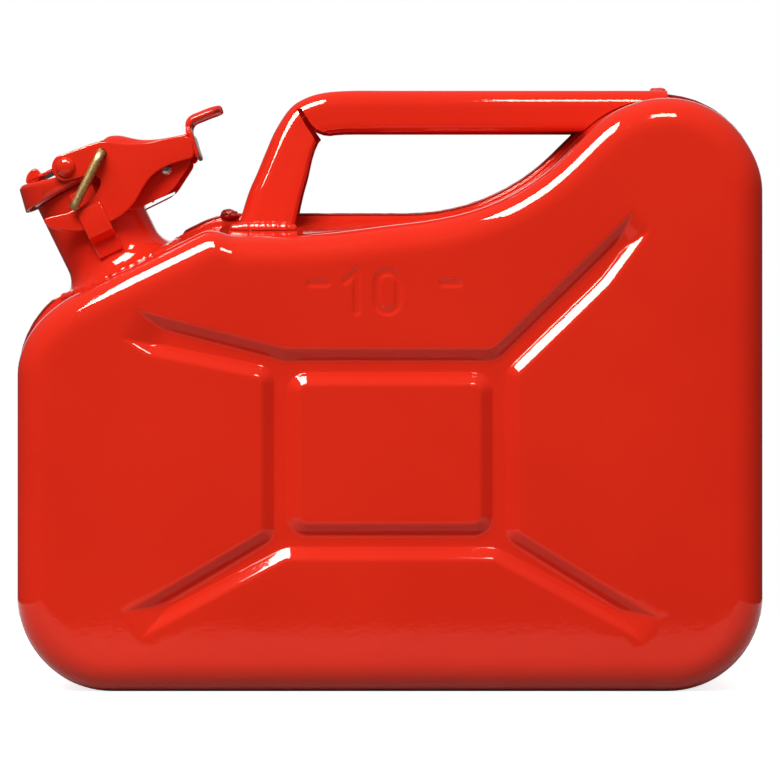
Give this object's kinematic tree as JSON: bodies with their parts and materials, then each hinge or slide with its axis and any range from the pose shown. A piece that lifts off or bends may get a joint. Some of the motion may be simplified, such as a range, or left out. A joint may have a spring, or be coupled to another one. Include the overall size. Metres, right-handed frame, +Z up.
{
  "type": "metal jerry can",
  "caption": "Flat-sided sheet-metal fuel can with a pressed cross pattern, a channel handle and a leaning filler neck closed by a hinged lid with a cam lever and a safety wire.",
  "frame": {"origin": "middle of the base, in the plane of the seam", "axes": "+Z up, +X towards the raised end of the top and away from the filler neck, front face towards -Y"},
  "size_m": [0.353, 0.14, 0.2831],
  "materials": {
    "red_paint": "glossy red paint over steel",
    "bare_steel": "bare grey steel",
    "brass_wire": "brass-plated wire, slightly dull",
    "gasket_rubber": "black rubber"
  },
  "bodies": {
    "can": {"front_shell": "red_paint", "rear_shell": "red_paint", "seam_weld": "red_paint", "neck_tube": "red_paint", "neck_weld": "red_paint", "mouth_ring": "red_paint", "breather_tube": "bare_steel", "front_keeper_strap": "red_paint", "rear_keeper_strap": "red_paint", "front_keeper_lug": "red_paint", "rear_keeper_lug": "red_paint", "hinge_bracket": "red_paint", "hinge_pin": "bare_steel", "handle": "red_paint", "front_foot_weld": "red_paint", "rear_foot_weld": "red_paint", "toe_weld": "red_paint", "end_weld": "red_paint"},
    "lid": {"lid": "red_paint", "lid_gasket": "gasket_rubber", "lid_arm": "red_paint", "lever_pin": "red_paint"},
    "lever": {"lever": "red_paint"},
    "safety_wire": {"safety_wire": "brass_wire"}
  },
  "joints": [
    {"name": "lid_hinge", "type": "hinge", "parent": "can", "child": "lid", "pos_m": [-0.10514, 0, 0.24283], "axis": [0, 1, 0], "range_deg": [0, 56]},
    {"name": "lever_pivot", "type": "hinge", "parent": "lid", "child": "lever", "pos_m": [-0.15187, 0, 0.24335], "axis": [0, -1, 0], "range_deg": [0, 75]},
    {"name": "wire_pivot", "type": "hinge", "parent": "lever", "child": "safety_wire", "pos_m": [-0.13515, 0, 0.24946], "axis": [0, -1, 0], "range_deg": [0, 110]}
  ]
}
